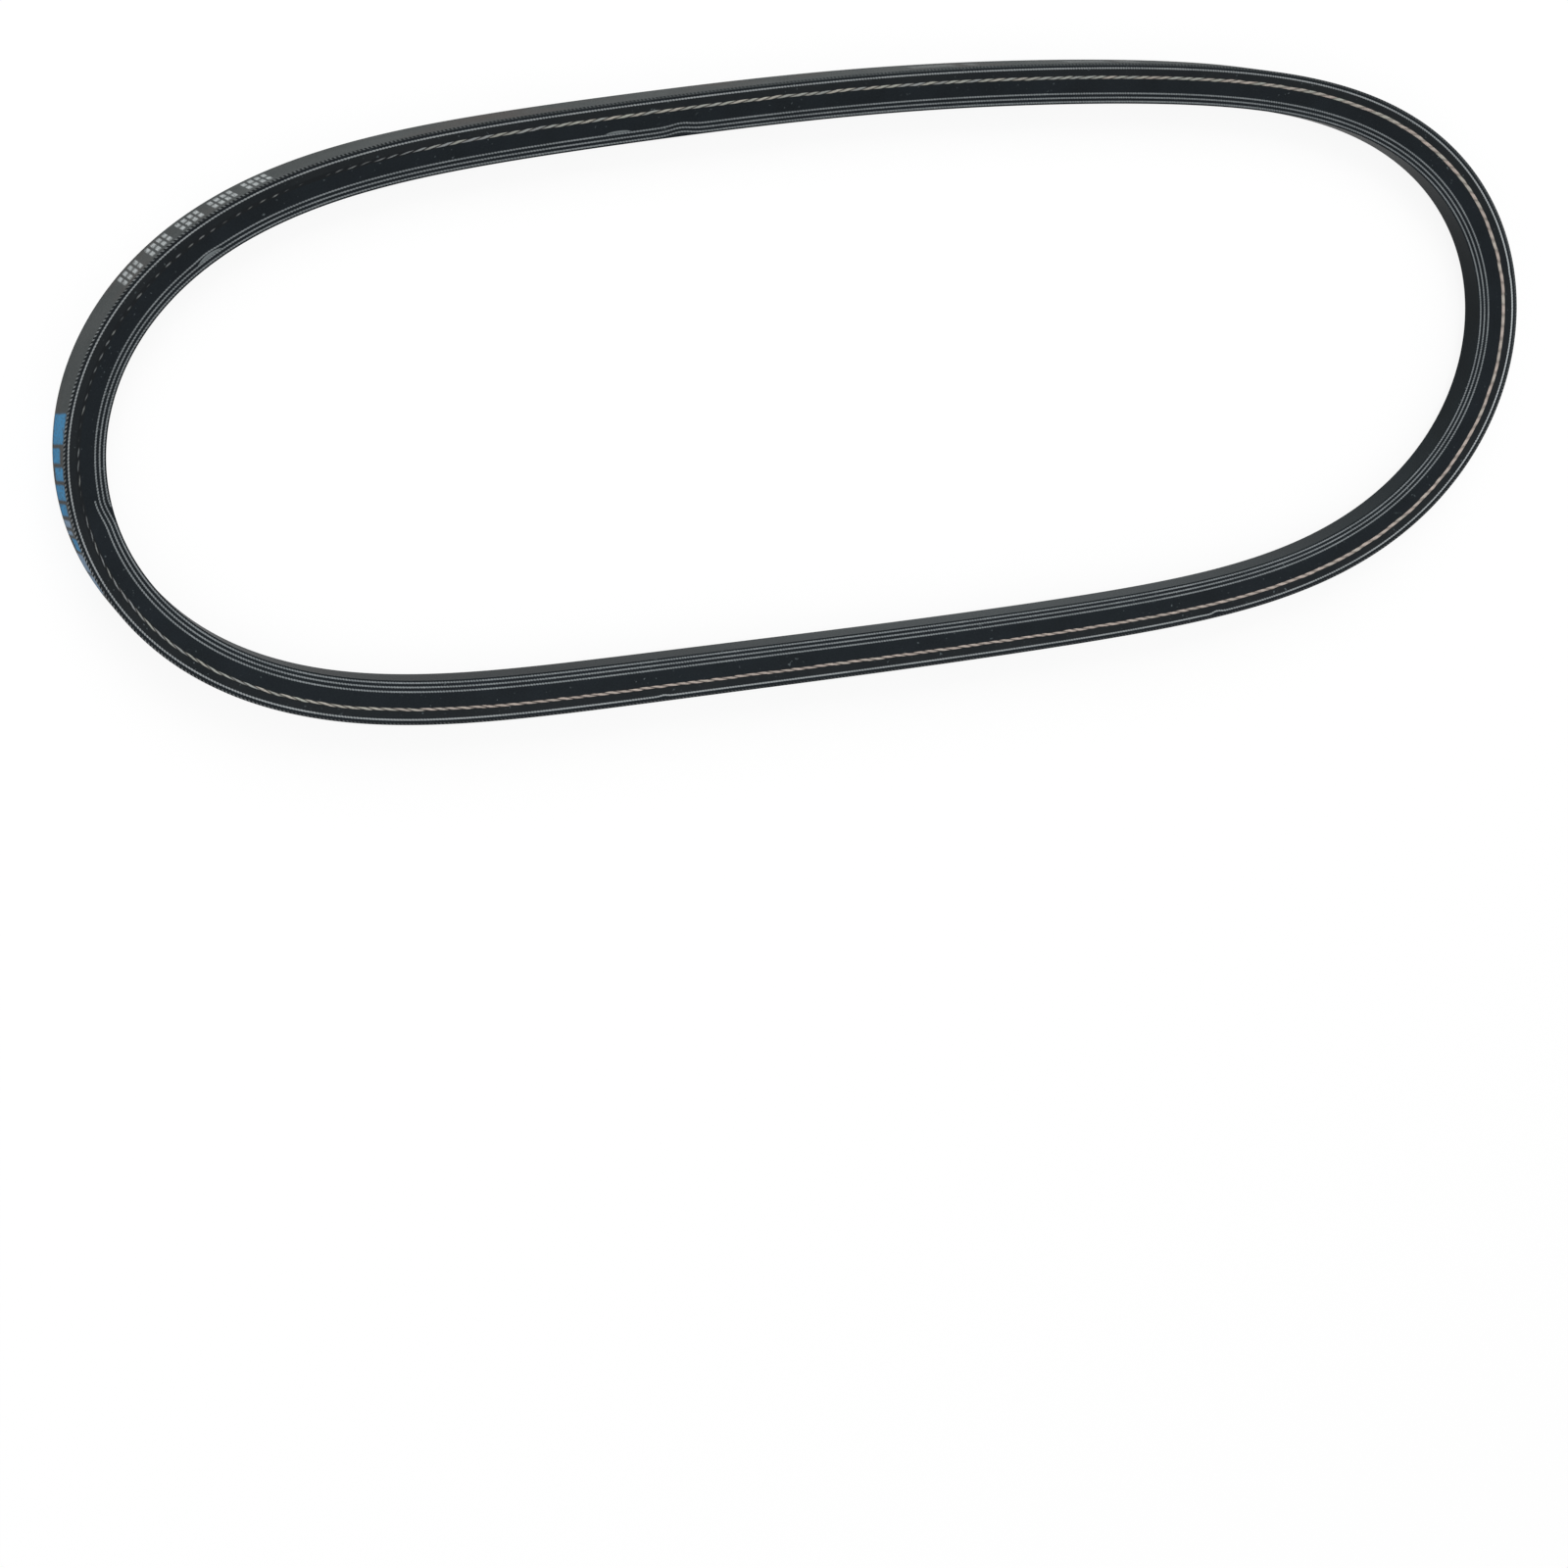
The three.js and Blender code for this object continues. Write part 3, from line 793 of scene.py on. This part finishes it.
# A ring of one layer between two even depths, paler near the right bend
def makePlainRing(name, node, finish, ring):
    outline = sectionOutline(1, ring["flankSteps"], 1)
    along = evenStations(ring["stations"])
    level = np.ones(len(along))
    band = bandAlong(outline, along, level * ring["top"], level * ring["base"])
    # paler near the right bend, fading over the reach on each side
    paleNearRightBend = plyFinish["rightBendPaleCover"] * bellAround(0.0, plyFinish["rightBendPaleReach"], along[:, None])
    piece = bandMesh(name, outline, band, True, {"lineAt": 0.5, "paleAtRightBend": paleNearRightBend})
    finishPiece(piece, node, [finish] * 3)


coverSkim = {"top": section["coverSkim"], "base": section["innerPly"], "stations": 1600, "flankSteps": 2}
coverPlyInner = {"top": section["innerPly"], "base": section["cushion"], "stations": 3600, "flankSteps": 4}
cushionRubber = {"top": section["cushion"], "base": section["cord"], "stations": 1600, "flankSteps": 5}


# Lift = rise * cover * height, where height is a half-round profile over the shown width times the strands'
# wave, one wave to a lobe, and cover is 1 where the height comes through the rubber. Each lobe has its own
# random shift across and along, height, tone and hue.
def makeTensileCord():
    look = tensileCord
    outline = sectionOutline(1, look["flankSteps"], 1)
    along = evenStations(look["stations"])
    column = along[:, None]
    shows, width, solid, lean, hue = (
        np.interp(along, *look[name])[:, None]
        for name in ("showAt", "widthAt", "solidAt", "leanAt", "hueAt")
    )
    random = np.random.default_rng(look["seed"])
    lobes = round(loopPlan["length"] / look["lobe"])
    knots = np.linspace(0, loopPlan["length"], lobes + 1)
    wander, push, uneven = (
        np.interp(along, knots, np.append(values, values[0]))[:, None]
        for values in (
            random.uniform(-look["wander"], look["wander"], lobes),
            random.uniform(-look["push"], look["push"], lobes),
            random.uniform(0, 1, lobes),
        )
    )
    q = (outline["share"] * 2 - 1 - wander) / width
    phase = column / loopPlan["length"] * lobes + lean * q + push / (2 * math.pi)
    strand = solid + (1 - solid) * np.sqrt(0.5 + 0.5 * np.cos(2 * math.pi * phase))
    thinner, thinnerBuried = look["thinner"]
    left = 1 - uneven * (thinner + thinnerBuried * (1 - shows))
    height = np.sqrt(np.clip(1 - q * q, 0, 1)) * strand * left
    cover = easeBetween(*look["coverLevels"], height - (1 - shows) * look["buriedBy"])
    onFlank = np.abs(outline["side"]) == 1
    lobe = np.floor(phase + 0.5).astype(int) % lobes
    level = np.ones(len(along))
    lift = look["rise"] * cover * height * onFlank
    band = bandAlong(outline, along, level * section["cord"], level * section["compression"], lift)
    piece = bandMesh("tensileCord", outline, band, True, {
        "strand": strand,
        "cordShows": cover * (look["thinShow"] + (1 - look["thinShow"]) * shows),
        "lobeTone": random.uniform(0.0, look["toneSpread"], lobes)[lobe] * (1 - look["solidCalm"] * solid),
        "lobeHue": hue + random.uniform(-look["hueSpread"], look["hueSpread"], lobes)[lobe],
    })
    finishPiece(piece, "tensile_cord", [cordFinish] * 3)


# Distances from the splice, with two stations close together at each wall: the overrun and the loop's end
def splicedStations(count):
    wall = 0.02  # mm between the two
    walls = [splice["overrun"] - wall / 2, splice["overrun"] + wall / 2, loopPlan["length"] - wall]
    return np.sort(np.append(evenStations(count), walls))


# How far a lens of fabric shows on a rubber layer: above 0 for a share of the layer's depth beyond
# 1 - reach * sqrt(1 - (x / half)^2), with x the distance along from the lens's middle
def seamPatch(along, seam, outline):
    lens = np.sqrt(np.clip(1 - ((along - seam["at"]) / seam["half"]) ** 2, 0, 1))
    return np.where(lens > 0, lens * seam["reach"] - 1, -1)[:, None] + outline["share"]


# A seam's lens: its middle and half length in mm, and its reach as a share of the layer's depth
compressionRubber = {"stations": 1700, "flankSteps": 10, "seam": {"at": 292.1, "half": 3.1, "reach": 0.17}}
# Stations are those of one turn. The last turn's line of threads lies nearer its outer face, away from
# the belt's edge.
baseFabric = {"stations": 3500, "flankSteps": 3, "lastLine": 0.38}
baseSkim = {"stations": 1800, "flankSteps": 2, "seam": {"at": 395.0, "half": 3.3, "reach": 0.9}}


# The wide black band: from the cord's depth to the outer face of the first turn of fabric
def makeCompressionRubber():
    outline = sectionOutline(1, compressionRubber["flankSteps"], 1)
    distance = splicedStations(compressionRubber["stations"])
    along = distance + splice["at"]
    top = np.full(len(distance), section["compression"])
    band = bandAlong(outline, along, top, fabricDepth(distance))
    patch = seamPatch(np.mod(along, loopPlan["length"]), compressionRubber["seam"], outline)
    piece = bandMesh("compressionRubber", outline, band, True, {"fabricShows": patch})
    finishPiece(piece, "compression_rubber", [compressionRubberFinish] * 3)


# One strip of fabric: its outer face is the fabric's depth at each distance, and its end is held off the
# base
def makeBaseFabric():
    outline = sectionOutline(1, baseFabric["flankSteps"], 1)
    length = splice["turns"] * loopPlan["length"] + splice["overrun"]
    distance = np.linspace(0.0, length, splice["turns"] * baseFabric["stations"] + 1)
    top = fabricDepth(distance)
    base = np.minimum(top + section["ply"], section["base"] - splice["skinLeft"])
    band = bandAlong(outline, distance + splice["at"], top, base)
    lineAt = np.where(distance < (splice["turns"] - 1) * loopPlan["length"], 0.5, baseFabric["lastLine"])
    piece = bandMesh("baseFabric", outline, band, False, {"lineAt": lineAt[:, None]})
    finishPiece(piece, "base_fabric", [basePlyLine] * 3)


# The strip of rubber between the fabric's turns, from the inner face of one turn to the outer face of the
# next
def makeBaseSkim():
    outline = sectionOutline(1, baseSkim["flankSteps"], 1)
    turns = splice["turns"] - 1
    length = turns * loopPlan["length"] + splice["overrun"]
    distance = np.linspace(0.0, length, turns * baseSkim["stations"] + 1)
    top = fabricDepth(distance) + section["ply"]
    band = bandAlong(outline, distance + splice["at"], top, fabricDepth(distance + loopPlan["length"]))
    inFirstTurn = (distance < loopPlan["length"])[:, None]
    patch = seamPatch(np.mod(band["along"], loopPlan["length"]), baseSkim["seam"], outline) * inFirstTurn
    piece = bandMesh("baseSkim", outline, band, False, {"fabricShows": patch})
    finishPiece(piece, "base_skim", [compressionRubberFinish] * 3)


# The skin fills what is left between the last turn, with its overrun, and the base
def makeBaseSkin():
    look = baseSkin
    outline = sectionOutline(1, look["flankSteps"], look["baseSteps"])
    distance = splicedStations(look["stations"])
    turnsAbove = np.where(distance < splice["overrun"], splice["turns"], splice["turns"] - 1)
    fabricBase = fabricDepth(distance + turnsAbove * loopPlan["length"]) + section["ply"]
    top = np.minimum(fabricBase, section["base"] - splice["skinLeft"])
    band = bandAlong(outline, distance + splice["at"], top, np.full(len(distance), section["base"]))
    # painted light: the near strand's base is paler where the light falls on it
    dustAndPaintedLight = look["paintedLightCover"] * bellAround(*look["dustAndPaintedLightAt"], band["along"][:, None])
    piece = bandMesh("baseSkin", outline, band, True, {"paintedLightShows": dustAndPaintedLight})
    rubber = compressionRubberFinish
    finishPiece(piece, "base_skin", [rubber, rubber, mouldedBaseSkin()])


makeCoverPlyOuter()
makePlainRing("coverSkim", "cover_skim", compressionRubberFinish, coverSkim)
makePlainRing("coverPlyInner", "cover_ply_inner", coverPlyLine, coverPlyInner)
makePlainRing("cushionRubber", "cushion_rubber", cushionRubberFinish, cushionRubber)
makeTensileCord()
makeCompressionRubber()
makeBaseFabric()
makeBaseSkim()
makeBaseSkin()

studio = {
    "floorReach": 4.0,  # metres
    "floorDrop": 0.02 * mm,
    "paper": "#f2f2f2",
    "shownPaper": "#696969",  # what the camera sees of the light on the floor, so that shadows stay faint
    "glow": 0.885,  # and what it sees without any light
    "world": 0.6,
    "skyLight": {"place": (-0.1, 1.1, 0.9), "size": 0.9, "power": 10.0},  # metres and watts
    "sideLight": {"place": (-1.1, -0.1, 0.7), "size": 0.8, "power": 0.5},
}


# 1 for a ray from the camera or through a glossy or clear surface, and 0 for one that lights the object
def seenRays(tree):
    path = addNode(tree, "ShaderNodeLightPath")
    direct = addNode(tree, "ShaderNodeMath", {"operation": "ADD"}, {
        0: path.outputs["Is Camera Ray"], 1: path.outputs["Is Glossy Ray"],
    })
    seen = addNode(tree, "ShaderNodeMath", {"operation": "ADD", "use_clamp": True}, {
        0: direct.outputs[0], 1: path.outputs["Is Transmission Ray"],
    })
    return seen.outputs[0]


# A wide plain floor that the camera and glossy rays see near white, with its shadows kept
def makeFloor():
    reach, level = studio["floorReach"], -studio["floorDrop"]
    mesh = bpy.data.meshes.new("floor")
    corners = [(x * reach, y * reach, level) for x, y in ((-1, -1), (1, -1), (1, 1), (-1, 1))]
    mesh.from_pydata(corners, [], [(0, 1, 2, 3)])
    floor = bpy.data.objects.new("floor", mesh)
    bpy.context.scene.collection.objects.link(floor)
    material = bpy.data.materials.new("mattWhitePaper")
    material.use_nodes = True
    tree = material.node_tree
    tree.nodes.clear()
    paper = addNode(tree, "ShaderNodeBsdfDiffuse", {}, {"Color": linear(studio["paper"])})
    shaded = addNode(tree, "ShaderNodeBsdfDiffuse", {}, {"Color": linear(studio["shownPaper"])})
    glow = addNode(tree, "ShaderNodeEmission", {}, {"Color": (1, 1, 1, 1), "Strength": studio["glow"]})
    shown = addNode(tree, "ShaderNodeAddShader", {}, {0: shaded.outputs[0], 1: glow.outputs[0]})
    surface = addNode(tree, "ShaderNodeMixShader", {}, {
        0: seenRays(tree), 1: paper.outputs[0], 2: shown.outputs[0],
    })
    addNode(tree, "ShaderNodeOutputMaterial", {}, {"Surface": surface.outputs[0]})
    floor.data.materials.append(material)


# A square soft box that faces the belt
def addLamp(name):
    lampLook = studio[name]
    data = bpy.data.lights.new(name, "AREA")
    data.shape = "SQUARE"
    data.size = lampLook["size"]
    data.energy = lampLook["power"]
    lamp = bpy.data.objects.new(name, data)
    lamp.location = lampLook["place"]
    lamp.rotation_mode = "QUATERNION"
    lamp.rotation_quaternion = (-Vector(lampLook["place"])).to_track_quat("-Z", "Y")
    bpy.context.scene.collection.objects.link(lamp)


# Even light from all round, which the camera and glossy rays see as white
def makeWorld():
    world = bpy.data.worlds.new("studio")
    world.use_nodes = True
    tree = world.node_tree
    shown = addNode(tree, "ShaderNodeMapRange", {}, {
        "Value": seenRays(tree), "To Min": studio["world"], "To Max": 1.0,
    })
    background = tree.nodes["Background"]
    background.inputs["Color"].default_value = (1, 1, 1, 1)
    tree.links.new(shown.outputs["Result"], background.inputs["Strength"])
    bpy.context.scene.world = world


# Where the photograph was taken from, in metres, and its axes, found by fitting the layers' lines
cameraView = {
    "place": (-0.29758, 0.14005, 0.63589),
    "right": (0.9122, -0.0291, 0.4088),
    "down": (-0.1614, -0.9424, 0.2931),
    "forward": (0.3767, -0.3333, -0.8643),
    "lens": 64.54,  # mm
    "sensor": 36.0,
    "nearest": 0.01,
}


# The camera's matrix has its right, up and backward directions as columns
def makeCamera():
    data = bpy.data.cameras.new("camera")
    data.lens = cameraView["lens"]
    data.sensor_width = cameraView["sensor"]
    data.sensor_fit = "HORIZONTAL"
    data.clip_start = cameraView["nearest"]
    camera = bpy.data.objects.new("camera", data)
    right, down, forward = (Vector(cameraView[key]).normalized() for key in ("right", "down", "forward"))
    axes = Matrix((right, -down, -forward)).transposed()
    camera.matrix_world = Matrix.Translation(cameraView["place"]) @ axes.to_4x4()
    bpy.context.scene.collection.objects.link(camera)
    bpy.context.scene.camera = camera


makeFloor()
makeWorld()
addLamp("skyLight")
addLamp("sideLight")
makeCamera()
bpy.context.scene.view_settings.view_transform = "Standard"
print("stage ready")
